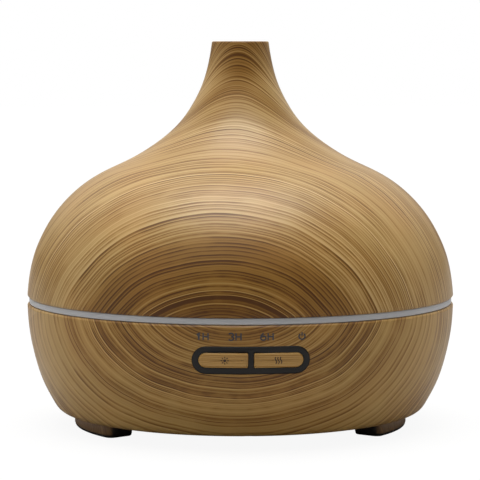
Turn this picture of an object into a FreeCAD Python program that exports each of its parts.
# Ultrasonic essential oil diffuser: onion-shaped lift-off cover over a water tank, round base with
# two push buttons, piezo mist disc, small axial fan and drive electronics.
# Frame: millimetres, +Z up, origin on the axis in the plane the feet stand on, buttons face -Y.
# Front is -Y, rear +Y, left -X, right +X.
import FreeCAD, Part
import Sketcher
import math
import os
from FreeCAD import Placement, Rotation, Vector

# ================================================================ driving dimensions
# In names: _r radius, _t thickness, _z height above the ground, _low and _high (or _top) end
# heights, _x and _y places, _start and _span degrees round from the front, positive towards +X.
DIMENSIONS = {
    # top cover
    "mouth_bevel": 0.60, "rim_r": 83.00, "rim_low": 50.62,
    "rib_in_r": 66.75, "rib_low": 60.0, "rib_high": 66.0, "rib_t": 2.0,
    # mist guide
    "guide_low": 53.0, "guide_top": 148.5,
    # lower shell
    "base_z": 4.80, "shell_rim_z": 48.00, "floor_z": 9.20, "lip_r": 61.6,
    "shell_bend_r": 70.90, "shell_base_r": 63.50,
    "shell_inner_rim_r": 81.40, "shell_inner_bend_r": 69.0, "shell_inner_base_r": 62.0,
    "plate_seat_r": 65.60, "plate_seat_z": 7.20,
    # bottom cover and feet
    "plate_r": 65.30, "plate_top": 7.10, "plate_screw_r": 60.5, "plate_screw_seat": 6.0,
    "plate_post_r": 3.6, "plate_post_length": 9.6,
    "foot_mid_r": 59.20, "foot_half": 6.10, "foot_low": 0.80, "foot_corner": 3.0,
    "foot_left_start": -92.0, "foot_left_span": 40.0,
    "foot_right_start": 51.1, "foot_right_span": 35.9,
    "foot_rear_start": 160.0, "foot_rear_span": 40.0,
    "peg_r": 1.5, "peg_length": 1.5, "pad_inset": 0.15,
    # water tank, its flange and the well over the disc
    "tank_r": 70.0, "tank_in_r": 67.8, "tank_bend_r": 8.5,
    "tank_under": 25.0, "tank_floor": 27.2, "tank_rim": 58.0,
    "ring_r": 82.90, "ring_low": 48.15, "ring_high": 50.60, "ring_edge": 0.35,
    "skirt_in_r": 79.0, "skirt_out_r": 80.9, "skirt_low": 45.0,
    "collar_in_r": 79.1, "collar_out_r": 80.7, "collar_top": 53.8,
    "well_under": 22.4, "well_floor": 25.4, "well_hole_r": 8.4,
    "tower_x": 48.0, "tower_r": 9.5, "tower_in_r": 8.0, "tower_top": 66.0,
    "tank_post_r": 64.0, "tank_post_low": 16.0, "tank_screw_seat": 12.2,
    "lamp_post_r": 26.0, "lamp_post_low": 23.0,
    # piezo disc, seal and clamp
    "disc_r": 10.0, "disc_t": 0.65, "disc_z": 20.9, "seal_r": 11.5, "seal_low": 19.8,
    "clamp_r": 17.0, "clamp_in_r": 8.9, "clamp_low": 18.6,
    "clamp_screw_r": 14.4, "clamp_screw_deep": 1.4,
    # fan and duct
    "fan_x": 37.0, "fan_side": 40.0, "fan_low": 8.2, "fan_high": 18.2, "fan_bore_r": 19.2,
    "fan_hole_at": 16.0, "fan_hole_r": 1.75, "fan_spoke_t": 1.3,
    "hub_r": 10.5, "hub_in_r": 9.5, "hub_low": 9.0, "hub_high": 16.3, "blade_r": 18.2,
    "shaft_r": 0.75, "bush_r": 2.0, "bush_in_r": 0.78, "bush_wall": 0.9,
    "stator_low": 12.2, "stator_t": 3.6,
    "duct_in_r": 17.6, "duct_out_r": 18.6, "duct_end_in_r": 8.2, "duct_end_out_r": 9.6,
    "duct_flange_t": 1.2, "duct_high": 24.3,
    # button panel: section of the curved wall from its upper to its lower edge, bezel and keys
    "wall_high_r": 83.36, "wall_high": 42.0, "wall_mid_r": 82.32,
    "wall_low_r": 80.98, "wall_low": 28.0, "wall_arc_r": 96.0,
    "panel_z": 35.2, "panel_w": 43.0, "panel_h": 10.3, "panel_back": 1.8, "panel_screw_x": 25.0,
    "bezel_proud": 0.20, "key_proud": 0.45,
    "key_w": 18.0, "key_h": 5.5, "key_x": 10.1, "key_gap": 0.16,
    "button_board_y": 73.5, "button_board_t": 1.2,
    "switch_t": 3.1, "switch_side": 6.0, "plunger_r": 1.5, "plunger_out": 0.55,
    # main board and lamp board
    "pcb_x": -36.0, "pcb_w": 40.0, "pcb_d": 52.0, "pcb_z": 12.0, "pcb_t": 1.6, "plug_h": 4.6,
    "lamp_board_w": 8.0, "lamp_board_t": 1.2,
    # power jack
    "jack_z": 15.0, "jack_boss_r": 8.0, "jack_boss_y": 62.0, "jack_recess_r": 5.6,
    "jack_recess_y": 67.0, "jack_barrel_r": 3.95, "jack_bore_r": 2.95, "jack_pin_r": 1.05,
}

# Control points of the revolved walls, as (radius, height). The sheet holds them as
# NAME_r1, NAME_z1, NAME_r2, NAME_z2 and so on.
CURVES = {
    "cover_outer": [
        (83.60, 51.30), (82.72, 63.00), (78.31, 74.23), (72.40, 84.00), (63.91, 92.86),
        (54.32, 99.12), (43.27, 103.66), (33.32, 109.78), (23.98, 117.28), (17.38, 126.98),
        (12.63, 137.81), (11.05, 150.00)],
    "cover_inner": [
        (81.40, 50.70), (80.51, 63.61), (75.03, 76.18), (67.59, 86.37), (57.50, 95.12),
        (45.52, 100.26), (34.16, 106.40), (23.52, 114.59), (16.03, 124.62), (10.28, 137.20),
        (9.05, 149.40)],
    "guide_outer": [
        (66.6, 66.0), (64.0, 78.0), (55.0, 86.0), (42.0, 92.0), (28.0, 100.0), (17.0, 111.0),
        (11.0, 124.0), (8.75, 136.0)],
    "guide_inner": [
        (65.1, 65.6), (62.5, 76.8), (54.1, 84.5), (41.3, 90.4), (26.9, 98.6), (15.6, 110.0),
        (9.5, 123.4), (7.25, 135.8)],
    "shell_outer": [
        (83.58, 47.40), (83.40, 40.00), (81.70, 30.10), (78.11, 17.60), (73.60, 9.90)],
    "shell_inner": [(81.20, 40.40), (79.50, 30.90), (75.90, 18.60), (71.40, 11.20)],
}

doc = FreeCAD.newDocument("aroma_diffuser")
sheet = doc.addObject("Spreadsheet::Sheet", "Dims")
ALIASES = dict(DIMENSIONS)
for curve, points in CURVES.items():
    for i, (radius, height) in enumerate(points, start=1):
        ALIASES["%s_r%d" % (curve, i)] = radius
        ALIASES["%s_z%d" % (curve, i)] = height
for row, (alias, value) in enumerate(ALIASES.items(), start=1):
    sheet.set("A%d" % row, alias.replace("_", " "))
    sheet.set("B%d" % row, repr(value))
    sheet.setAlias("B%d" % row, alias)
doc.recompute()


class Dim:
    """A number together with the spreadsheet expression that gives it."""

    def __init__(self, value, text=None, bound=False):
        self.value = float(value)
        self.text = text or "%.6g" % self.value
        self.bound = bound

    def __add__(self, other):
        return combine(self, "+", other)

    def __radd__(self, other):
        return combine(other, "+", self)

    def __sub__(self, other):
        return combine(self, "-", other)

    def __rsub__(self, other):
        return combine(other, "-", self)

    def __mul__(self, other):
        return combine(self, "*", other)

    def __rmul__(self, other):
        return combine(other, "*", self)

    def __truediv__(self, other):
        return combine(self, "/", other)

    def __neg__(self):
        return combine(0, "-", self)


OPERATIONS = {
    "+": lambda a, b: a + b,
    "-": lambda a, b: a - b,
    "*": lambda a, b: a * b,
    "/": lambda a, b: a / b,
}


def dim(number):
    return number if isinstance(number, Dim) else Dim(number)


def combine(left, sign, right):
    left, right = dim(left), dim(right)
    value = OPERATIONS[sign](left.value, right.value)
    text = "(%s %s %s)" % (left.text, sign, right.text)
    return Dim(value, text, left.bound or right.bound)


class DrivingDimensions:
    """Gives each alias of the sheet as a bound Dim."""

    def __getattr__(self, alias):
        return Dim(ALIASES[alias], "Dims." + alias, True)


dims = DrivingDimensions()


def poles(curve):
    """Control points of a named curve as pairs of bound Dims."""
    return [(getattr(dims, "%s_r%d" % (curve, i)), getattr(dims, "%s_z%d" % (curve, i)))
            for i in range(1, len(CURVES[curve]) + 1)]


def set_bound(obj, prop, number):
    """Sets a property and, where the number comes from the sheet, its expression."""
    number = dim(number)
    setattr(obj, prop, number.value)
    if number.bound:
        obj.setExpression(prop, number.text)


PIECES = []  # (file name, document object)


def node(name, obj):
    """Registers a finished piece for export."""
    obj.Label = name
    PIECES.append((name, obj))


# ================================================================ sketches
FACE_FRONT = Rotation(Vector(0, 1, 0), -90)  # turns an XZ sketch's x axis towards -Y
FACE_LEFT = Rotation(Vector(0, 1, 0), 180)  # turns an XZ sketch's x axis towards -X
AXIS = [(0, 0)]
DIAGONAL = math.sqrt(0.5)


def body(name):
    return doc.addObject("PartDesign::Body", name)


def origin(part, role):
    return [o for o in part.Origin.OriginFeatures if o.Role == role][0]


def sketch(part, name, role="XZ_Plane", offset=None, turn=None):
    """Sketch on an origin plane, moved along the normal: +Z for XY, -Y for XZ, +X for YZ."""
    sk = part.newObject("Sketcher::SketchObject", name)
    sk.AttachmentSupport = [(origin(part, role), "")]
    sk.MapMode = "FlatFace"
    if turn is not None:
        sk.AttachmentOffset = Placement(Vector(), turn)
    if offset is not None:
        offset = dim(offset)
        sk.AttachmentOffset = Placement(Vector(0, 0, offset.value), Rotation())
        if offset.bound:
            sk.setExpression("AttachmentOffset.Base.z", offset.text)
    return sk


def constrain(sk, kind, refs, number):
    number = dim(number)
    index = sk.addConstraint(Sketcher.Constraint(kind, *refs, number.value))
    if number.bound:
        sk.setExpression("Constraints[%d]" % index, number.text)


def fix_point(sk, geometry, vertex, point):
    """Dimensions one vertex from the sketch origin."""
    constrain(sk, "DistanceX", (-1, 1, geometry, vertex), point[0])
    constrain(sk, "DistanceY", (-1, 1, geometry, vertex), point[1])


def vector(point):
    return Vector(dim(point[0]).value, dim(point[1]).value, 0)


def add_spline(sk, points):
    """Clamped cubic B-spline with evenly spaced knots and every control point dimensioned."""
    inner = len(points) - 4
    knots = [i / (inner + 1.0) for i in range(inner + 2)]
    spline = Part.BSplineCurve()
    spline.buildFromPolesMultsKnots(
        [vector(p) for p in points], [4] + [1] * inner + [4], knots, False, 3)
    geometry = sk.addGeometry(spline, False)
    for i, point in enumerate(points):
        mark = sk.addGeometry(Part.Circle(vector(point), Vector(0, 0, 1), 1.0), True)
        sk.addConstraint(Sketcher.Constraint(
            "InternalAlignment:Sketcher::BSplineControlPoint", mark, 3, geometry, i))
        fix_point(sk, mark, 3, point)
    return geometry


def path(sk, start, segments):
    """Closed chain of segments, the last of which ends at start. A segment is one of
    ("line", end), ("spline", inner control points, end), ("arc", mid-point, radius, end) and
    ("half", mid-point, centre x, end), an upright half circle."""
    made = []
    here = start
    for kind, *details, end in segments:
        first, last = 1, 2
        if kind == "line":
            geometry = sk.addGeometry(Part.LineSegment(vector(here), vector(end)), False)
        elif kind == "spline":
            geometry = add_spline(sk, [here] + details[0] + [end])
        else:
            p0, mid, p1 = vector(here), vector(details[0]), vector(end)
            turn = (mid.x - p0.x) * (p1.y - mid.y) - (mid.y - p0.y) * (p1.x - mid.x)
            if turn <= 0:  # sketch arcs run anticlockwise
                p0, p1 = p1, p0
                first, last = 2, 1
            geometry = sk.addGeometry(Part.Arc(p0, mid, p1), False)
        made.append((geometry, first, last, kind, details, here))
        here = end
    for before, current in zip([made[-1]] + made[:-1], made):
        sk.addConstraint(Sketcher.Constraint(
            "Coincident", before[0], before[2], current[0], current[1]))
        if "spline" not in (before[3], current[3]):
            fix_point(sk, current[0], current[1], current[5])
    for geometry, _, _, kind, details, _ in made:
        if kind == "half":
            constrain(sk, "DistanceX", (-1, 1, geometry, 3), details[1])
        elif kind == "arc":
            constrain(sk, "Radius", (geometry,), details[1])


def lines(*points):
    return [("line", point) for point in points]


def polygon(sk, *points):
    path(sk, points[0], lines(*points[1:], points[0]))


def rectangle(sk, x0, y0, x1, y1):
    polygon(sk, (x0, y0), (x1, y0), (x1, y1), (x0, y1))


def circle(sk, x, y, radius):
    shape = Part.Circle(vector((x, y)), Vector(0, 0, 1), dim(radius).value)
    geometry = sk.addGeometry(shape, False)
    fix_point(sk, geometry, 3, (x, y))
    constrain(sk, "Radius", (geometry,), radius)


def circles(part, name, z, radius, spots):
    """Level sketch at height z with equal circles."""
    sk = sketch(part, name, "XY_Plane", z)
    for x, y in spots:
        circle(sk, x, y, radius)
    return sk


def stadium(sk, y, width, height):
    """Outline centred on x = 0 with half-round ends."""
    r = height / 2
    x = width / 2 - r
    start = (-x, y - r)
    path(sk, start, lines((x, y - r)) + [("half", (x + r, y), x, (x, y + r))]
         + lines((-x, y + r)) + [("half", (-x - r, y), -x, start)])


def half_stadium(sk, flat_x, round_x, y, height, side):
    """Straight end at flat_x, half-round end reaching round_x; side is +1 when the round end
    is at larger x."""
    r = height / 2
    x = round_x - side * r
    path(sk, (flat_x, y - r), lines((x, y - r)) + [("half", (round_x, y), x, (x, y + r))]
         + lines((flat_x, y + r), (flat_x, y - r)))


# ================================================================ PartDesign features
def revolve(part, sk, name, angle=360.0):
    """Turns a section round its own vertical axis; a part turn is centred on the section."""
    f = part.newObject("PartDesign::Revolution", name)
    f.Profile = sk
    f.ReferenceAxis = (sk, ["V_Axis"])
    f.Angle = angle
    f.Midplane = angle != 360.0
    part.Tip = f


def pad(part, sk, name, length, mid=False):
    f = part.newObject("PartDesign::Pad", name)
    f.Profile = sk
    f.Type = "Length"
    set_bound(f, "Length", length)
    f.Midplane = mid
    part.Tip = f
    return f


def pocket(part, sk, name, length):
    """Cuts along the sketch normal."""
    f = part.newObject("PartDesign::Pocket", name)
    f.Profile = sk
    f.Type = "Length"
    set_bound(f, "Length", length)
    f.Reversed = True
    part.Tip = f
    return f


def polar(part, features, name, count):
    doc.recompute()  # the pattern needs its originals built
    f = part.newObject("PartDesign::PolarPattern", name)
    f.Originals = features
    f.Axis = (origin(part, "Z_Axis"), [""])
    f.Angle = 360
    f.Occurrences = count
    part.Tip = f


def shift_x(part, x):
    """Moves a body built on the origin axis to x."""
    part.Placement = Placement(Vector(x.value, 0, 0), Rotation())
    part.setExpression("Placement.Base.x", x.text)


# ================================================================ Part solids
TURN = {"z": Rotation(), "y": Rotation(Vector(1, 0, 0), -90)}  # axis a solid stands along


def place(obj, x, y, z, turn):
    x, y, z = dim(x), dim(y), dim(z)
    obj.Placement = Placement(Vector(x.value, y.value, z.value), turn)
    for axis, number in (("x", x), ("y", y), ("z", z)):
        if number.bound:
            obj.setExpression("Placement.Base." + axis, number.text)


def cylinder(name, radius, height, x=0, y=0, z=0, axis="z"):
    obj = doc.addObject("Part::Cylinder", name)
    set_bound(obj, "Radius", radius)
    set_bound(obj, "Height", height)
    place(obj, x, y, z, TURN[axis])
    return obj


def cylinders(name, spots, radius, height, z):
    """Equal upright cylinders, numbered from 0."""
    return [cylinder("%s_%d" % (name, i), radius, height, x, y, z)
            for i, (x, y) in enumerate(spots)]


def box(name, length, width, height, x, y, z, turn=None):
    """Box with its centre at x, y and its underside at z, turned about +Z by degrees."""
    obj = doc.addObject("Part::Box", name)
    length, width = dim(length), dim(width)
    set_bound(obj, "Length", length)
    set_bound(obj, "Width", width)
    set_bound(obj, "Height", height)
    if turn is None:
        place(obj, x - length / 2, y - width / 2, z, Rotation())
    else:
        rot = Rotation(Vector(0, 0, 1), turn)
        corner = rot.multVec(Vector(-length.value / 2, -width.value / 2, 0))
        place(obj, dim(x).value + corner.x, dim(y).value + corner.y, z, rot)
    return obj


def cut(name, base, tool):
    obj = doc.addObject("Part::Cut", name)
    obj.Base = base
    obj.Tool = tool
    return obj


def fuse(name, parts):
    obj = doc.addObject("Part::MultiFuse", name)
    obj.Shapes = parts
    return obj


def group(name, parts):
    obj = doc.addObject("Part::Compound", name)
    obj.Links = parts
    return obj


def feature(name, shape):
    obj = doc.addObject("Part::Feature", name)
    obj.Shape = shape
    return obj


# ================================================================ shared places
def polar_xy(radius, angle):
    """Point measured in degrees round from the front (-Y), positive towards +X."""
    a = math.radians(angle)
    return radius * math.sin(a), -radius * math.cos(a)


def spots_round(radius, angles):
    """The same for a radius from the sheet and several angles, as pairs of bound Dims."""
    units = [polar_xy(1.0, angle) for angle in angles]
    return [(radius * round(x, 6), radius * round(y, 6)) for x, y in units]


PLATE_SCREWS = spots_round(dims.plate_screw_r, (25, -25, 145, -145))
TANK_SCREWS = spots_round(dims.tank_post_r, (0, 120, 240))
LAMP_POSTS = spots_round(dims.lamp_post_r, (0, 180, 270))
CLAMP_SCREWS = spots_round(dims.clamp_screw_r, (180, 300, 60))
CORNERS = ((1, 1), (1, -1), (-1, 1), (-1, -1))
FAN_CORNERS = [(dims.fan_hole_at * sx, dims.fan_hole_at * sy) for sx, sy in CORNERS]
FAN_HOLES = [(dims.fan_x + x, y) for x, y in FAN_CORNERS]
PCB_HOLES = [(dims.pcb_x + x, y)
             for x, y in ((-17.0, 22.0), (-17.0, -22.0), (16.5, 22.0), (16.5, -22.0))]
BOARD_TOP = dims.pcb_z + dims.pcb_t
SIDES = (("light", -1), ("mist", 1))  # left and right button


# ================================================================ cover, guide and tank
def make_top_cover():
    part = body("top_cover")
    outer, inner = poles("cover_outer"), poles("cover_inner")
    section = sketch(part, "top_cover_section")
    path(section, outer[0], [
        ("spline", outer[1:-1], outer[-1]),
        *lines((inner[-1][0] + dims.mouth_bevel, outer[-1][1]), inner[-1]),
        ("spline", inner[-2:0:-1], inner[0]),
        *lines((dims.rim_r, dims.rim_low), outer[0])])
    revolve(part, section, "top_cover_wall")
    rib_low_r, rib_high_r = inner[0][0] - 0.3, inner[0][0] - 1.2
    outline = sketch(part, "guide_rib_outline")
    polygon(outline, (dims.rib_in_r, dims.rib_low), (rib_low_r, dims.rib_low),
            (rib_high_r, dims.rib_high), (dims.rib_in_r, dims.rib_high))
    rib = pad(part, outline, "guide_rib", dims.rib_t, mid=True)
    polar(part, [rib], "guide_ribs", 3)
    node("top_cover", part)


def make_mist_guide():
    part = body("mist_guide")
    outer, inner = poles("guide_outer"), poles("guide_inner")
    start = (outer[0][0], dims.guide_low)
    section = sketch(part, "mist_guide_section")
    path(section, start, [
        ("spline", outer, (outer[-1][0], dims.guide_top)),
        ("line", (inner[-1][0], dims.guide_top)),
        ("spline", inner[::-1], (inner[0][0], dims.guide_low)),
        ("line", start)])
    revolve(part, section, "mist_guide_wall")
    node("mist_guide", part)


def tank_bowl(part):
    """Bowl with the stepped well at its centre and the flange round its outside."""
    bend_out = dims.tank_bend_r
    bend_in = bend_out - (dims.tank_r - dims.tank_in_r)
    bend_x = dims.tank_r - bend_out
    bend_z = dims.tank_under + bend_out
    ring_in_r = dims.ring_r - dims.ring_edge
    start = (dims.well_hole_r, dims.well_under)
    section = sketch(part, "tank_section")
    path(section, start, [
        *lines((18.5, dims.well_under), (20.0, dims.tank_under), (bend_x, dims.tank_under)),
        ("arc", (bend_x + bend_out * DIAGONAL, bend_z - bend_out * DIAGONAL), bend_out,
         (dims.tank_r, bend_z)),
        *lines(
            (dims.tank_r, dims.ring_low), (dims.skirt_in_r, dims.ring_low),
            (dims.skirt_in_r, dims.skirt_low), (dims.skirt_out_r, dims.skirt_low),
            (dims.skirt_out_r, dims.ring_low), (ring_in_r, dims.ring_low),
            (dims.ring_r, dims.ring_low + dims.ring_edge),
            (dims.ring_r, dims.ring_high - dims.ring_edge), (ring_in_r, dims.ring_high),
            (dims.skirt_out_r, dims.ring_high), (dims.collar_out_r, dims.collar_top),
            (dims.collar_in_r, dims.collar_top), (dims.collar_in_r, dims.ring_high),
            (dims.tank_r, dims.ring_high), (dims.tank_r, dims.tank_rim),
            (dims.tank_in_r, dims.tank_rim), (dims.tank_in_r, dims.tank_floor + bend_in)),
        ("arc", (bend_x + bend_in * DIAGONAL, bend_z - bend_in * DIAGONAL), bend_in,
         (bend_x, dims.tank_floor)),
        *lines((18.6, dims.tank_floor - 0.2), (16.8, dims.well_floor),
               (dims.well_hole_r, dims.well_floor), start)])
    revolve(part, section, "tank_bowl")


def make_water_tank():
    part = body("water_tank")
    tank_bowl(part)
    # air tower to the right of the well
    tower = [(dims.tower_x, 0)]
    tower_height = dims.tower_top - dims.tank_under
    outline = circles(part, "air_tower_outline", dims.tank_under, dims.tower_r, tower)
    pad(part, outline, "air_tower", tower_height)
    outline = circles(part, "air_passage_outline", dims.tank_under - 1, dims.tower_in_r, tower)
    pocket(part, outline, "air_passage", tower_height + 2)
    # three outer posts under the bowl, the first at the front
    front = [(0, -dims.tank_post_r)]
    outline = circles(part, "tank_post_outline", dims.tank_post_low, 3.4, front)
    post = pad(part, outline, "tank_post", dims.tank_under - dims.tank_post_low + 2.0)
    polar(part, [post], "tank_posts", 3)
    outline = circles(part, "tank_post_pilot", dims.tank_post_low - 0.5, 1.3, front)
    hole = pocket(part, outline, "tank_post_hole", 8.5)
    polar(part, [hole], "tank_post_holes", 3)
    # posts that carry the lamp board
    outline = circles(part, "led_post_outline", dims.lamp_post_low, 2.6, LAMP_POSTS)
    pad(part, outline, "led_posts", dims.tank_under - dims.lamp_post_low + 0.5)
    outline = circles(part, "led_post_pilot", dims.lamp_post_low - 0.5, 1.05, LAMP_POSTS)
    pocket(part, outline, "led_post_holes", 3.2)
    # pilot holes for the clamp screws
    outline = circles(part, "clamp_pilot", dims.well_under - 0.5, 1.05,
                      [(0, dims.clamp_screw_r)])
    hole = pocket(part, outline, "clamp_hole", 2.9)
    polar(part, [hole], "clamp_holes", 3)
    # fill line, a raised bar on the inside wall at the rear
    outline = sketch(part, "fill_line_outline", "XY_Plane", 47.6)
    rectangle(outline, -9.0, 66.9, 9.0, 68.4)
    pad(part, outline, "fill_line", 0.8)
    node("water_tank", part)


# ================================================================ lower shell
def shell_outer_solid():
    part = body("lower_shell_outer")
    curve = poles("shell_outer")
    section = sketch(part, "lower_outer_section")
    path(section, curve[0], [
        ("spline", curve[1:] + [(dims.shell_bend_r, dims.base_z)],
         (dims.shell_base_r, dims.base_z)),
        *lines((0, dims.base_z), (0, dims.shell_rim_z), (dims.rim_r, dims.shell_rim_z),
               curve[0])])
    revolve(part, section, "lower_outer_solid")
    return part


def shell_inner_solid():
    """The hollow, which runs 1 past the rim and the base."""
    part = body("lower_shell_inner")
    above, below = dims.shell_rim_z + 1, dims.base_z - 1
    start = (dims.shell_inner_rim_r, above)
    section = sketch(part, "lower_inner_section")
    path(section, start, [
        ("spline", poles("shell_inner") + [(dims.shell_inner_bend_r, dims.floor_z)],
         (dims.shell_inner_base_r, dims.floor_z)),
        *lines((dims.lip_r, dims.floor_z), (dims.lip_r, below), (0, below), (0, above), start)])
    revolve(part, section, "lower_inner_solid")
    return part


def panel_cylinders(name, radius, length, behind):
    """Cylinders along +Y on both panel screw axes, up to `behind` in front of the board line."""
    return [cylinder("%s_%d" % (name, i), radius, length, dims.panel_screw_x * side,
                     -dims.button_board_y - behind, dims.panel_z, "y")
            for i, side in enumerate((-1, 1))]


def make_lower_shell():
    seat = dims.plate_seat_z
    post_gap = 0.05  # below the tank's posts
    bosses = cylinders("plate_post", PLATE_SCREWS, dims.plate_post_r, dims.plate_post_length,
                       seat)
    bosses += cylinders("tank_screw_post", TANK_SCREWS, 3.6,
                        dims.tank_post_low - seat - post_gap, seat)
    bosses.append(cylinder("jack_boss", dims.jack_boss_r, 16.0, 0, dims.jack_boss_y,
                           dims.jack_z, "y"))
    bosses += panel_cylinders("panel_post", 2.4, 8.0, 8.0)
    outer, inner = shell_outer_solid(), shell_inner_solid()
    void = cut("lower_shell_void", inner, fuse("lower_shell_bosses", bosses))
    shell = cut("lower_shell_wall", outer, void)

    drill_low = 6.0
    holes = [cylinder("plate_seat", dims.plate_seat_r, seat)]
    holes += cylinders("plate_pilot", PLATE_SCREWS, 1.3, 8.0, drill_low)
    holes += cylinders("tank_screw_hole", TANK_SCREWS, 1.7, 12.0, drill_low)
    holes += cylinders("tank_screw_bore", TANK_SCREWS, 2.9, dims.tank_screw_seat - drill_low,
                       drill_low)
    holes.append(cylinder("jack_hole", dims.jack_barrel_r + 0.1, 12.0, 0, dims.jack_boss_y - 2,
                          dims.jack_z, "y"))
    holes.append(cylinder("jack_recess", dims.jack_recess_r, 16.0, 0, dims.jack_recess_y,
                          dims.jack_z, "y"))
    holes += panel_cylinders("panel_pilot", 1.05, 3.4, 3.0)
    slot = body("panel_slot")
    outline = sketch(slot, "panel_slot_outline", "XZ_Plane", 70.0)
    stadium(outline, dims.panel_z, dims.panel_w + 0.1, dims.panel_h + 0.1)
    pad(slot, outline, "panel_slot_solid", 20.0)
    holes.append(slot)
    node("lower_shell", cut("lower_shell", shell, fuse("lower_shell_openings", holes)))


# ================================================================ bottom cover, feet and pads
FEET = [(name, getattr(dims, "foot_%s_start" % name).value,
         getattr(dims, "foot_%s_span" % name).value) for name in ("left", "right", "rear")]


def peg_spots(first, span):
    return spots_round(dims.foot_mid_r, [first + span * share for share in (0.28, 0.72)])


def make_bottom_cover():
    post_low = dims.plate_top - 0.5
    solids = [cylinder("bottom_plate", dims.plate_r, dims.plate_top - dims.base_z,
                       z=dims.base_z)]
    solids += cylinders("fan_post", FAN_HOLES, 3.0, dims.fan_low - post_low, post_low)
    solids += cylinders("pcb_post", PCB_HOLES, 3.0, dims.pcb_z - post_low, post_low)
    # intake grille: concentric arc slots under the fan, crossed by spokes
    slot_r, slot_pitch, slot_w = 4.6, 3.4, 1.9
    rings = []
    for i in range(4):
        r = slot_r + slot_pitch * i
        rings.append(cut("grille_ring_%d" % i,
                         cylinder("grille_out_%d" % i, r + slot_w, 4.0, dims.fan_x, 0, 4.0),
                         cylinder("grille_in_%d" % i, r, 6.0, dims.fan_x, 0, 3.0)))
    bars = [box("grille_bar_%d" % i, 44.0, 1.8, 6.0, dims.fan_x, 0, 3.0, turn=45.0 * i + 22.5)
            for i in range(4)]
    tools = [cut("intake_grille", fuse("grille_rings", rings), fuse("grille_bars", bars))]
    bore_low = 4.0
    tools += cylinders("plate_hole", PLATE_SCREWS, 1.6, 6.0, 3.0)
    tools += cylinders("plate_bore", PLATE_SCREWS, 3.0, dims.plate_screw_seat - bore_low,
                       bore_low)
    tools += cylinders("fan_pilot", FAN_HOLES, 1.25, 3.3, 5.6)
    tools += cylinders("pcb_pilot", PCB_HOLES, 1.05, 5.0, 7.6)
    # ventilation slots under the main board
    tools += [box("vent_slot_%d" % i, 22.0, 1.8, 6.0, -38.0, -10.0 + 5.0 * i, 3.0)
              for i in range(5)]
    for name, first, span in FEET:
        tools += cylinders("peg_hole_" + name, peg_spots(first, span), dims.peg_r + 0.05,
                           dims.peg_length + 1.1, dims.base_z - 1.0)
    solid = fuse("bottom_cover_solid", solids)
    node("bottom_cover", cut("bottom_cover", solid, fuse("bottom_cover_openings", tools)))


def rounded_corner(radius, corner, angle, sign, outer, z):
    """Corner arc by a radial end face at `angle`, its centre on `radius`: the point on the long
    arc, the mid-point and the point on the end face."""
    x, y = polar_xy(radius, angle - math.degrees(math.asin(corner / radius)) * sign)
    centre = Vector(x, y, z)
    radial = Vector(x, y, 0)
    radial.normalize()
    if not outer:
        radial = radial * -1
    away = Vector(*polar_xy(1.0, angle + 90.0 * sign), 0)
    both = radial + away
    both.normalize()
    return centre + radial * corner, centre + both * corner, centre + away * corner


def foot_blocks(tag, low, high, inset):
    """Three arc-shaped blocks with radial ends and rounded corners, one per foot."""
    low, high, inset = dim(low).value, dim(high).value, dim(inset).value
    mid_r, half = dims.foot_mid_r.value, dims.foot_half.value
    inner_r, outer_r = mid_r - half + inset, mid_r + half - inset
    corner = dims.foot_corner.value - inset
    trim = math.degrees(inset / mid_r)
    blocks = []
    for name, first, span in FEET:
        start, end = first + trim, first + span - trim
        outer_end = rounded_corner(outer_r - corner, corner, end, 1, True, low)
        outer_start = rounded_corner(outer_r - corner, corner, start, -1, True, low)
        inner_end = rounded_corner(inner_r + corner, corner, end, 1, False, low)
        inner_start = rounded_corner(inner_r + corner, corner, start, -1, False, low)
        middle = (start + end) / 2
        outer_mid = Vector(*polar_xy(outer_r, middle), low)
        inner_mid = Vector(*polar_xy(inner_r, middle), low)
        edges = [
            Part.Arc(outer_start[0], outer_mid, outer_end[0]),
            Part.Arc(*outer_end),
            Part.LineSegment(outer_end[2], inner_end[2]),
            Part.Arc(*inner_end[::-1]),
            Part.Arc(inner_end[0], inner_mid, inner_start[0]),
            Part.Arc(*inner_start),
            Part.LineSegment(inner_start[2], outer_start[2]),
            Part.Arc(*outer_start[::-1])]
        face = Part.Face(Part.Wire([edge.toShape() for edge in edges]))
        blocks.append(feature("%s_%s_block" % (tag, name),
                              face.extrude(Vector(0, 0, high - low))))
    return blocks


def make_feet():
    feet = []
    for block, (name, first, span) in zip(
            foot_blocks("foot", dims.foot_low, dims.base_z, 0), FEET):
        pegs = cylinders("peg_" + name, peg_spots(first, span), dims.peg_r,
                         dims.peg_length + 0.5, dims.base_z - 0.5)
        feet.append(fuse("foot_%s" % name, [block] + pegs))
    node("feet", group("feet", feet))


def make_foot_pads():
    node("foot_pads", group("foot_pads", foot_blocks("pad", 0, dims.foot_low, dims.pad_inset)))


# ================================================================ button panel
KEY_IN = dims.key_x - dims.key_w / 2
KEY_OUT = dims.key_x + dims.key_w / 2
SWITCH_FRONT = dims.button_board_y + dims.switch_t
PLUNGER_FRONT = SWITCH_FRONT + dims.plunger_out


def curved_band(part, name, proud):
    """Band that follows the shell wall at the panel, standing proud of it, with a straight
    back. Sketch and feature are named NAME_band and NAME_curve."""
    high_r, mid_r, low_r = (
        r + proud for r in (dims.wall_high_r, dims.wall_mid_r, dims.wall_low_r))
    high, low = dims.wall_high, dims.wall_low
    back_r = dims.wall_low_r - dims.panel_back
    start = (high_r, high)
    section = sketch(part, name + "_band", turn=FACE_FRONT)
    path(section, start, lines((back_r, high), (back_r, low), (low_r, low))
         + [("arc", (mid_r, (high + low) / 2), dims.wall_arc_r, start)])
    revolve(part, section, name + "_curve", angle=40.0)


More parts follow.
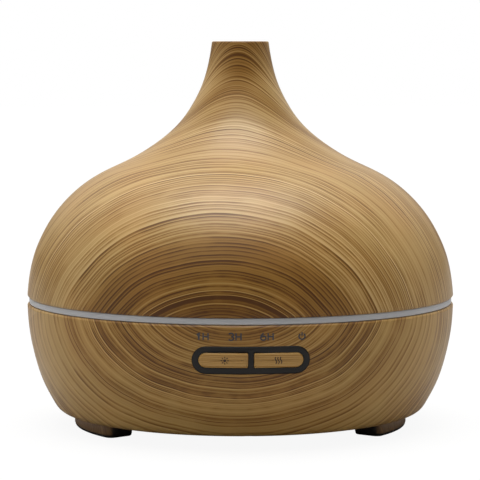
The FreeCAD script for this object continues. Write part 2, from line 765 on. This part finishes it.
def trim_sketch(part, name):
    """Frame larger than the band; whatever outline is added inside it survives the cut."""
    sk = sketch(part, name, "XZ_Plane", 60.0)
    rectangle(sk, -45.0, 20.0, 45.0, 50.0)
    return sk


def make_button_bezel():
    part = body("button_bezel")
    curved_band(part, "bezel", dims.bezel_proud)
    trim = trim_sketch(part, "bezel_trim")
    stadium(trim, dims.panel_z, dims.panel_w, dims.panel_h)
    pocket(part, trim, "bezel_outline", 40.0)
    gap = dims.key_gap
    windows = sketch(part, "bezel_windows", "XZ_Plane", 60.0)
    for side in (1, -1):
        half_stadium(windows, (KEY_IN - gap) * side, (KEY_OUT + gap) * side, dims.panel_z,
                     dims.key_h + gap * 2, side)
    pocket(part, windows, "bezel_key_holes", 40.0)
    node("button_bezel", part)


def make_button(name, side):
    part = body(name + "_button")
    curved_band(part, name + "_key", dims.key_proud)
    trim = trim_sketch(part, name + "_key_trim")
    half_stadium(trim, KEY_IN * side, KEY_OUT * side, dims.panel_z, dims.key_h, side)
    pocket(part, trim, name + "_key_outline", 40.0)
    # retaining flange behind the bezel, then the web and the stem that meets the switch
    flange_over, flange_out_x = 0.9, 12.2
    outline = sketch(part, name + "_flange_outline", "XZ_Plane", PLUNGER_FRONT + 0.45)
    rectangle(outline, (KEY_IN - 0.7) * side, dims.panel_z - dims.key_h / 2 - flange_over,
              flange_out_x * side, dims.panel_z + dims.key_h / 2 + flange_over)
    pad(part, outline, name + "_flange", 0.45)
    outline = sketch(part, name + "_web_outline", "XZ_Plane", PLUNGER_FRONT + 0.8)
    half_stadium(outline, (KEY_IN + 0.3) * side, (KEY_OUT - 1.7) * side, dims.panel_z,
                 dims.key_h - 0.6, side)
    pad(part, outline, name + "_web", 3.0)
    outline = sketch(part, name + "_stem_outline", "XZ_Plane", PLUNGER_FRONT + 0.02)
    circle(outline, dims.key_x * side, dims.panel_z, 1.3)
    pad(part, outline, name + "_stem", 1.0)
    node(name + "_button", part)


def make_switch_plunger(name, side):
    name += "_switch_plunger"
    node(name, cylinder(name, dims.plunger_r, dims.plunger_out + 1.6, dims.key_x * side,
                        -PLUNGER_FRONT, dims.panel_z, "y"))


def make_button_board():
    part = body("button_board")
    outline = sketch(part, "button_board_outline", "XZ_Plane",
                     dims.button_board_y - dims.button_board_t)
    rectangle(outline, -27.5, 30.0, 27.5, 46.4)
    for side in (-1, 1):
        circle(outline, dims.panel_screw_x * side, dims.panel_z, 1.35)
    pad(part, outline, "button_board_plate", dims.button_board_t)
    node("button_board", part)


def make_switch_bodies():
    switches = []
    for name, side in SIDES:
        x = dims.key_x * side
        block = box(name + "_switch_block", dims.switch_side, dims.switch_t, dims.switch_side,
                    x, -(dims.button_board_y + dims.switch_t / 2),
                    dims.panel_z - dims.switch_side / 2)
        hole = cylinder(name + "_switch_hole", dims.plunger_r + 0.05, 2.3, x,
                        -(SWITCH_FRONT + 0.2), dims.panel_z, "y")
        switches.append(cut(name + "_switch_body", block, hole))
    node("switch_bodies", group("switch_bodies", switches))


def make_indicator_lamps():
    deep = 1.1
    lamps = [box("lamp_%d" % i, 2.0, deep, 1.3, x, -(dims.button_board_y + deep / 2), 43.3)
             for i, x in enumerate((-17.8, -5.9, 5.7, 18.4))]
    node("indicator_lamps", group("indicator_lamps", lamps))


# ================================================================ piezo disc, seal and clamp
def make_ultrasonic_disc():
    node("ultrasonic_disc", cylinder("ultrasonic_disc", dims.disc_r, dims.disc_t,
                                     z=dims.disc_z))


def make_disc_seal():
    part = body("disc_seal")
    hole_r, disc_top = dims.well_hole_r, dims.disc_z + dims.disc_t
    section = sketch(part, "disc_seal_section")
    polygon(section, (hole_r, dims.seal_low), (dims.seal_r, dims.seal_low),
            (dims.seal_r, dims.well_under), (hole_r, dims.well_under), (hole_r, disc_top),
            (dims.disc_r, disc_top), (dims.disc_r, dims.disc_z), (hole_r, dims.disc_z))
    revolve(part, section, "disc_seal_ring")
    node("disc_seal", part)


def make_disc_clamp():
    part = body("disc_clamp")
    seat_r = dims.seal_r + 0.1
    section = sketch(part, "disc_clamp_section")
    polygon(section, (dims.clamp_in_r, dims.clamp_low), (dims.clamp_r, dims.clamp_low),
            (dims.clamp_r, dims.well_under), (seat_r, dims.well_under),
            (seat_r, dims.seal_low), (dims.clamp_in_r, dims.seal_low))
    revolve(part, section, "disc_clamp_ring")
    below, rear = dims.clamp_low - 1, [(0, dims.clamp_screw_r)]
    outline = circles(part, "clamp_screw_outline", below, 1.25, rear)
    hole = pocket(part, outline, "clamp_screw_hole", 6.0)
    outline = circles(part, "clamp_bore_outline", below, 2.2, rear)
    bore = pocket(part, outline, "clamp_screw_bore", dims.clamp_screw_deep + 1)
    polar(part, [hole, bore], "clamp_screw_holes", 3)
    node("disc_clamp", part)


# ================================================================ fan
def make_fan_housing():
    part = body("fan_housing")
    half = dims.fan_side / 2
    outline = sketch(part, "fan_frame_outline", "XY_Plane", dims.fan_low)
    rectangle(outline, -half, -half, half, half)
    circle(outline, 0, 0, dims.fan_bore_r)
    for x, y in FAN_CORNERS:
        circle(outline, x, y, dims.fan_hole_r)
    pad(part, outline, "fan_frame", dims.fan_high - dims.fan_low)
    # hub plate and spokes flush with the top of the frame
    plate_low = dims.fan_high - dims.fan_spoke_t
    outline = circles(part, "fan_hub_outline", plate_low, dims.hub_r, AXIS)
    pad(part, outline, "fan_hub_plate", dims.fan_spoke_t)
    outline = sketch(part, "fan_spoke_outline", "XY_Plane", plate_low)
    rectangle(outline, dims.hub_r - 1.0, -1.1, dims.fan_bore_r + 0.4, 1.1)
    spoke = pad(part, outline, "fan_spoke", dims.fan_spoke_t)
    polar(part, [spoke], "fan_spokes", 3)
    # tube that holds the bearing
    outline = circles(part, "fan_tube_outline", dims.hub_low + 2.4,
                      dims.bush_r + dims.bush_wall, AXIS)
    pad(part, outline, "fan_tube", dims.fan_high - dims.hub_low - 3.0)
    outline = circles(part, "fan_tube_bore", dims.hub_low, dims.bush_r, AXIS)
    pocket(part, outline, "fan_bush_seat", dims.fan_high - dims.hub_low - 0.5)
    shift_x(part, dims.fan_x)
    node("fan_housing", part)


def make_fan_rotor():
    part = body("fan_rotor")
    bevel, floor = 0.8, dims.hub_low + 1.2
    section = sketch(part, "rotor_cup_section")
    polygon(section, (dims.shaft_r, dims.hub_low), (dims.hub_r - bevel, dims.hub_low),
            (dims.hub_r, dims.hub_low + bevel), (dims.hub_r, dims.hub_high),
            (dims.hub_in_r, dims.hub_high), (dims.hub_in_r, floor), (dims.shaft_r, floor))
    revolve(part, section, "rotor_cup")
    root = 0.4  # how far a blade starts inside the cup wall
    outline = sketch(part, "blade_outline", "YZ_Plane", dims.hub_r - root)
    polygon(outline, (-4.2, 9.6), (-3.2, 9.6), (4.2, 15.9), (3.2, 15.9))
    blade = pad(part, outline, "blade", dims.blade_r - dims.hub_r + root)
    polar(part, [blade], "blades", 7)
    shift_x(part, dims.fan_x)
    node("fan_rotor", part)


def fan_cylinder(name, radius, height, z):
    return cylinder(name, radius, height, dims.fan_x, 0, z)


def make_fan_core():
    """Shaft, magnet ring and bearing."""
    node("fan_shaft", fan_cylinder("fan_shaft", dims.shaft_r, 8.2, dims.hub_low))
    node("fan_magnet", cut("fan_magnet", fan_cylinder("magnet_out", dims.hub_in_r, 4.8, 10.7),
                           fan_cylinder("magnet_in", 8.5, 8.0, 9.0)))
    node("fan_bearing", cut("fan_bearing", fan_cylinder("bush_out", dims.bush_r, 5.6, 11.6),
                            fan_cylinder("bush_in", dims.bush_in_r, 9.0, 10.0)))


def make_fan_stator():
    """Four teeth with curved tips on a core round the bearing tube."""
    low, thick = dims.stator_low, dims.stator_t
    iron = [fan_cylinder("stator_core", 4.4, thick, low)]
    iron += [box("stator_tooth_%d" % i, 15.0, 3.0, thick, dims.fan_x, 0, low, turn=90.0 * i)
             for i in range(2)]
    shoes = cut("stator_shoes", fan_cylinder("stator_shoe_out", 7.9, thick, low),
                fan_cylinder("stator_shoe_in", 6.9, 6.0, 11.0))
    gaps = [box("stator_gap_%d" % i, 20.0, 2.2, 6.0, dims.fan_x, 0, 11.0, turn=45.0 + 90.0 * i)
            for i in range(2)]
    iron.append(cut("stator_tips", shoes, fuse("stator_gaps", gaps)))
    hole = fan_cylinder("stator_hole", dims.bush_r + dims.bush_wall, 8.0, 10.0)
    node("fan_stator", cut("fan_stator", fuse("stator_iron", iron), hole))


# ================================================================ duct and air outlet
def duct_loft(name, low_r, high_r, low, high):
    """Slanting cone from the fan axis to the tower axis."""
    ends = ((low_r, dims.fan_x, low), (high_r, dims.tower_x, high))
    rings = [Part.Wire(Part.makeCircle(r.value, Vector(x.value, 0, z.value)))
             for r, x, z in ends]
    return feature(name, Part.makeLoft(rings, True, True))


def make_fan_duct():
    flange = box("duct_flange", dims.fan_side, dims.fan_side, dims.duct_flange_t,
                 dims.fan_x, 0, dims.fan_high)
    low, high = dims.fan_high + 1.0, dims.duct_high
    outside = duct_loft("duct_outside", dims.duct_out_r, dims.duct_end_out_r, low, high)
    tools = [
        duct_loft("duct_inside", dims.duct_in_r, dims.duct_end_in_r, low - 0.01, high + 0.2),
        fan_cylinder("duct_mouth", dims.duct_in_r, 2.0, dims.fan_high - 0.8),
        # relief where the duct passes the clamp ring
        cylinder("duct_relief", dims.clamp_r + 0.6, 8.0, z=dims.fan_high)]
    tools += cylinders("duct_hole", FAN_HOLES, dims.fan_hole_r, 3.0, dims.fan_high - 1)
    tools += cylinders("duct_seat", FAN_HOLES, 3.1, 8.0, dims.fan_high + dims.duct_flange_t)
    node("fan_duct", cut("fan_duct", fuse("duct_solid", [flange, outside]),
                         fuse("duct_tools", tools)))


def make_duct_gasket():
    ring = cylinder("gasket_out", 10.6, dims.tank_under - dims.duct_high, dims.tower_x, 0,
                    dims.duct_high)
    hole = cylinder("gasket_in", dims.duct_end_in_r, 3.0, dims.tower_x, 0, dims.duct_high - 1)
    node("duct_gasket", cut("duct_gasket", ring, hole))


def make_air_outlet_cap():
    """Cap over the air tower, with side windows."""
    part = body("air_outlet_cap")
    low, top, roof_under, bevel = 60.0, 71.2, 69.9, 1.0
    out_r, skirt_in_r, in_r = 10.9, 9.6, 9.0
    section = sketch(part, "cap_section")
    polygon(section, (skirt_in_r, low), (out_r, low), (out_r, top - bevel),
            (out_r - bevel, top), (0, top), (0, roof_under), (in_r, roof_under),
            (in_r, dims.tower_top), (skirt_in_r, dims.tower_top))
    revolve(part, section, "cap_wall")
    outline = sketch(part, "cap_window_outline", "XZ_Plane", 8.0)
    rectangle(outline, -2.6, 66.4, 2.6, 69.4)
    window = pocket(part, outline, "cap_window", 4.0)
    polar(part, [window], "cap_windows", 6)
    shift_x(part, dims.tower_x)
    node("air_outlet_cap", part)


# ================================================================ main board and its parts
# Plugs on the board: centre x, centre y, length along x, width along y.
PLUGS = {
    "power": (-46.0, 21.5, 8.0, 5.0),
    "lamp": (-33.5, 16.5, 5.0, 7.0),
    "button": (-45.4, -21.5, 10.0, 5.0),
    "fan": (-26.0, -10.5, 5.0, 7.5),
    "disc": (-27.5, 8.5, 5.0, 5.5),
}


def make_main_board():
    plate = box("main_board_plate", dims.pcb_w, dims.pcb_d, dims.pcb_t, dims.pcb_x, 0,
                dims.pcb_z)
    drill = cylinders("pcb_hole", PCB_HOLES, 1.35, 4.0, dims.pcb_z - 1)
    node("main_board", cut("main_board", plate, fuse("pcb_holes", drill)))


def make_heat_sink_and_transistor():
    sink_y, sink_height = -2.0, 6.9
    fins = [box("heat_sink_base", 3.0, 15.0, sink_height, -52.3, sink_y, BOARD_TOP)]
    fins += [box("heat_sink_fin_%d" % i, 7.0, 1.1, sink_height, -47.8, -8.2 + 3.1 * i, BOARD_TOP)
             for i in range(5)]
    node("heat_sink", fuse("heat_sink", fins))
    x = -54.92
    node("power_transistor", fuse("power_transistor", [
        box("transistor_case", 2.2, 6.4, 5.2, x, sink_y, BOARD_TOP + 1.8),
        box("transistor_leads", 0.6, 4.6, 2.0, x, sink_y, BOARD_TOP)]))


def make_power_inductor():
    x, y = -40.0, 9.5
    flange_r, flange_t, wire_height = 4.6, 0.8, 4.6
    wire_low = BOARD_TOP + flange_t
    node("power_inductor", fuse("power_inductor", [
        cylinder("inductor_foot", flange_r, flange_t, x, y, BOARD_TOP),
        cylinder("inductor_wire", 3.9, wire_height, x, y, wire_low),
        cylinder("inductor_cap", flange_r, flange_t, x, y, wire_low + wire_height)]))


def make_board_parts():
    spots = ((-47.5, 12.0), (-53.0, 14.5), (-34.0, -18.0))
    node("capacitors", group("capacitors", cylinders("capacitor", spots, 2.5, 6.6, BOARD_TOP)))
    node("control_chips", group("control_chips", [
        box("chip_0", 5.0, 6.2, 1.5, -40.3, -6.0, BOARD_TOP),
        box("chip_1", 4.0, 5.0, 1.4, -31.5, 2.0, BOARD_TOP)]))
    plugs = [box("plug_%d" % i, length, width, dims.plug_h, x, y, BOARD_TOP)
             for i, (x, y, length, width) in enumerate(PLUGS.values())]
    node("board_connectors", group("board_connectors", plugs))


# ================================================================ lamp board
def make_lamp_board():
    """Arc of board under the tank, open to the right."""
    part = body("lamp_board")
    inner_r = dims.lamp_post_r - dims.lamp_board_w / 2
    outer_r = dims.lamp_post_r + dims.lamp_board_w / 2
    section = sketch(part, "lamp_board_section", turn=FACE_LEFT)
    rectangle(section, inner_r, dims.lamp_post_low - dims.lamp_board_t,
              outer_r, dims.lamp_post_low)
    revolve(part, section, "lamp_board_arc", angle=252.0)
    drill = circles(part, "lamp_board_holes", 20.0, 1.3, LAMP_POSTS)
    pocket(part, drill, "lamp_board_drill", 6.0)
    node("lamp_board", part)


def make_mood_lamps():
    """Six lamps on top of the board; angles run anticlockwise from +X."""
    lamps = []
    for i, angle in enumerate((72, 112, 152, 208, 248, 288)):
        a = math.radians(angle)
        r = dims.lamp_post_r.value
        lamps.append(box("mood_lamp_%d" % i, 3.5, 3.5, 1.5, r * math.cos(a), r * math.sin(a),
                         dims.lamp_post_low, turn=angle))
    node("mood_lamps", group("mood_lamps", lamps))


# ================================================================ power jack, at the rear
def jack_rod(name, radius, length, y):
    return cylinder(name, radius, length, 0, y, dims.jack_z, "y")


def make_dc_jack():
    tail = 5.4
    solid = fuse("jack_solid", [
        jack_rod("jack_barrel", dims.jack_barrel_r, 15.5, 53.0),
        jack_rod("jack_flange", 5.3, 1.5, dims.jack_recess_y),
        box("jack_tail", tail, 3.0, tail, 0, 52.0, dims.jack_z - tail / 2)])
    bores = fuse("jack_bores", [
        jack_rod("jack_bore", dims.jack_bore_r, 12.0, 59.0),
        jack_rod("jack_pin_seat", dims.jack_pin_r + 0.3, 5.0, 55.0)])
    node("dc_jack", cut("dc_jack", solid, bores))


def make_dc_jack_pin():
    rod_y, rod_length = 58.0, 9.4
    tip = doc.addObject("Part::Cone", "jack_pin_tip")
    set_bound(tip, "Radius1", dims.jack_pin_r)
    set_bound(tip, "Radius2", 0.6)
    set_bound(tip, "Height", 0.6)
    place(tip, 0, rod_y + rod_length, dims.jack_z, TURN["y"])
    node("dc_jack_pin", fuse("jack_pin_solid", [
        jack_rod("jack_pin_foot", dims.jack_pin_r + 0.3, 4.0, 55.0),
        jack_rod("jack_pin_rod", dims.jack_pin_r, rod_length, rod_y),
        tip]))


def make_dc_jack_nut():
    hexagon = doc.addObject("Part::Prism", "jack_nut_hex")
    hexagon.Polygon = 6
    hexagon.Circumradius = 6.2
    hexagon.Height = 2.4
    place(hexagon, 0, 59.5, dims.jack_z, TURN["y"])
    hole = jack_rod("jack_nut_hole", dims.jack_barrel_r + 0.05, 4.0, 59.0)
    node("dc_jack_nut", cut("dc_jack_nut", hexagon, hole))


# ================================================================ screws
def screw(shank_r, length, head_r, head_h):
    """Pan head with a cross recess, its underside at the origin, shank down -Z."""
    tip = 0.8
    head = Part.makeCylinder(head_r, head_h)
    top = [e for e in head.Edges if e.Closed and abs(e.CenterOfMass.z - head_h) < 1e-6]
    head = head.makeFillet(head_h * 0.4, top)
    shank = Part.makeCylinder(shank_r, length - tip, Vector(0, 0, -(length - tip)))
    point = Part.makeCone(0.45 * shank_r, shank_r, tip, Vector(0, 0, -length))
    solid = head.fuse([shank, point]).removeSplitter()
    slot_length, slot_w, depth = head_r * 1.1, head_r * 0.3, head_h * 0.55
    for x, y in ((slot_length, slot_w), (slot_w, slot_length)):
        solid = solid.cut(Part.makeBox(x, y, depth + 1, Vector(-x / 2, -y / 2, head_h - depth)))
    return solid


def at_height(spots, z):
    return [(x, y, z) for x, y in spots]


def make_screws():
    down = Rotation()
    up = Rotation(Vector(1, 0, 0), 180)
    to_front = Rotation(Vector(1, 0, 0), -90)
    board_back = -(dims.button_board_y - dims.button_board_t)
    panel_spots = [(dims.panel_screw_x * side, board_back, dims.panel_z) for side in (-1, 1)]
    # name, (shank radius, length, head radius, head height), head places, shank direction
    table = (
        ("bottom_cover_screws", (1.25, 7.4, 2.7, 1.6),
         at_height(PLATE_SCREWS, dims.plate_screw_seat), up),
        ("tank_screws", (1.25, 11.0, 2.7, 1.8),
         at_height(TANK_SCREWS, dims.tank_screw_seat), up),
        ("fan_screws", (1.2, 13.4, 2.6, 1.6),
         at_height(FAN_HOLES, dims.fan_high + dims.duct_flange_t), down),
        ("main_board_screws", (1.0, 5.6, 2.2, 1.3), at_height(PCB_HOLES, BOARD_TOP), down),
        ("clamp_screws", (1.0, 4.6, 2.0, 1.2),
         at_height(CLAMP_SCREWS, dims.clamp_low + dims.clamp_screw_deep), up),
        ("lamp_board_screws", (1.0, 3.6, 1.9, 1.1),
         at_height(LAMP_POSTS, dims.lamp_post_low - dims.lamp_board_t), up),
        ("button_board_screws", (1.0, 3.6, 1.9, 1.1), panel_spots, to_front),
    )
    for name, sizes, spots, turn in table:
        master = screw(*sizes)
        copies = []
        for spot in spots:
            copy = master.copy()
            copy.Placement = Placement(Vector(*[dim(c).value for c in spot]), turn)
            copies.append(copy)
        node(name, feature(name, Part.makeCompound(copies)))


# ================================================================ wiring
def wire(points, radius, bend):
    """Round wire along a line whose corners are bent to a radius."""
    pts = [Vector(*p) for p in points]
    edges, last = [], pts[0]
    for before, corner, after in zip(pts, pts[1:], pts[2:]):
        back, on = before - corner, after - corner
        back_length, on_length = back.Length, on.Length
        back.normalize()
        on.normalize()
        half = math.pi / 2 - back.getAngle(on) / 2
        reach = min(bend * math.tan(half), 0.45 * back_length, 0.45 * on_length)
        bend_r = reach / math.tan(half)
        middle = back + on
        middle.normalize()
        centre = corner + middle * (bend_r / math.cos(half))
        first, end = corner + back * reach, corner + on * reach
        edges.append(Part.LineSegment(last, first).toShape())
        edges.append(Part.Arc(first, centre - middle * bend_r, end).toShape())
        last = end
    edges.append(Part.LineSegment(last, pts[-1]).toShape())
    ring = Part.Face(Part.Wire(Part.makeCircle(radius, pts[0], pts[1] - pts[0])))
    return Part.Wire(edges).makePipe(ring)


def harness(name, route, plug, count, pitch, radius, leave, along):
    """Side-by-side wires that leave the route's first point in direction `leave` and end on top
    of a plug whose row of wires runs along `along`."""
    plug_x, plug_y = plug
    end_z = (BOARD_TOP + dims.plug_h).value + 0.02
    gap = math.hypot(route[-1][0] - plug_x, route[-1][1] - plug_y)
    ux, uy = (route[-1][0] - plug_x) / gap, (route[-1][1] - plug_y) / gap
    stub = tuple(c + 1.6 * d for c, d in zip(route[0], leave))
    line = [route[0], stub] + route[1:] + [
        (plug_x + 2.9 * ux, plug_y + 2.9 * uy, end_z + 2.5),
        (plug_x, plug_y, end_z + 2.1), (plug_x, plug_y, end_z)]
    # the row keeps its order, so the wires do not cross at the plug
    across = along if uy * along[0] - ux * along[1] > 0 else (-along[0], -along[1])
    runs = [[] for _ in range(count)]
    for i, (x, y, z) in enumerate(line):
        if i >= len(line) - 3:
            side = across
        elif i < 2 and abs(leave[2]) < 0.5:
            side = (-leave[1], leave[0])
        else:
            before, after = (line[0], line[2]) if i < 2 else (line[i - 1], line[i + 1])
            dx, dy = after[0] - before[0], after[1] - before[1]
            side = (-dy / math.hypot(dx, dy), dx / math.hypot(dx, dy))
        for j, run in enumerate(runs):
            offset = (j - (count - 1) / 2.0) * pitch
            run.append((x + side[0] * offset, y + side[1] * offset, z))
    wires = [wire(run, radius, bend=2.2) for run in runs]
    node(name, feature(name, Part.makeCompound(wires)))


def make_wiring():
    """Routes are (x, y, z) from the far end towards the main board."""
    harness("power_wires",
            [(0, 50.45, 15.0), (-3.0, 45.5, 15.2), (-16.0, 37.5, 17.0), (-32.0, 30.5, 19.4),
             (-41.0, 26.0, 20.6)],
            PLUGS["power"][:2], count=2, pitch=2.0, radius=0.6, leave=(0, -1, 0), along=(1, 0))
    harness("disc_wires",
            [(-3.6, 0, 20.3), (-5.5, 0.5, 18.0), (-13.0, 3.0, 16.9), (-19.5, 5.6, 18.6)],
            PLUGS["disc"][:2], count=2, pitch=1.4, radius=0.5, leave=(0, 0, -1), along=(0, 1))
    harness("fan_wires",
            [(16.95, -13.0, 12.5), (8.0, -16.0, 12.0), (-4.0, -18.5, 13.2),
             (-13.0, -17.6, 16.6), (-19.0, -14.6, 19.4)],
            PLUGS["fan"][:2], count=2, pitch=1.8, radius=0.5, leave=(-1, 0, 0), along=(0, 1))
    x, y = PLUGS["button"][:2]
    harness("button_wires",
            [(-8.0, -72.25, 31.6), (-8.5, -70.9, 29.2), (-9.5, -68.5, 25.5),
             (-14.0, -58.0, 20.5), (-24.0, -46.0, 18.2), (-37.0, -31.5, 19.6)],
            (x, y - 0.1), count=4, pitch=1.5, radius=0.45, leave=(0, 1, 0), along=(1, 0))
    harness("lamp_wires",
            [(-20.6, 15.7, 21.75), (-21.0, 16.2, 20.4), (-25.5, 18.6, 19.6)],
            PLUGS["lamp"][:2], count=2, pitch=1.5, radius=0.5, leave=(0, 0, -1), along=(0, 1))


# ================================================================ build, check and write
def export_pieces():
    doc.recompute()
    bad = [o.Name for o in doc.Objects if "Invalid" in o.State or "Error" in o.State]
    for name, obj in PIECES:
        shape = obj.Shape
        if shape.isNull() or not shape.isValid() or not shape.Solids:
            bad.append("%s: null, invalid or no solid" % name)
    if bad:
        raise SystemExit("failed objects: %s" % bad)
    os.makedirs("parts", exist_ok=True)
    names = [name for name, _ in PIECES]
    for old in os.listdir("parts"):
        if old.endswith(".step") and old[:-5] not in names:
            os.remove(os.path.join("parts", old))
    for name, obj in PIECES:
        solids = obj.Shape.Solids
        shape = solids[0] if len(solids) == 1 else Part.makeCompound(solids)
        shape.exportStep("parts/%s.step" % name)


make_top_cover()
make_mist_guide()
make_water_tank()
make_lower_shell()
make_bottom_cover()
make_feet()
make_foot_pads()
make_button_bezel()
for button, button_side in SIDES:
    make_button(button, button_side)
    make_switch_plunger(button, button_side)
make_button_board()
make_switch_bodies()
make_indicator_lamps()
make_ultrasonic_disc()
make_disc_seal()
make_disc_clamp()
make_fan_housing()
make_fan_rotor()
make_fan_core()
make_fan_stator()
make_fan_duct()
make_duct_gasket()
make_air_outlet_cap()
make_main_board()
make_heat_sink_and_transistor()
make_power_inductor()
make_board_parts()
make_lamp_board()
make_mood_lamps()
make_dc_jack()
make_dc_jack_pin()
make_dc_jack_nut()
make_screws()
make_wiring()
export_pieces()
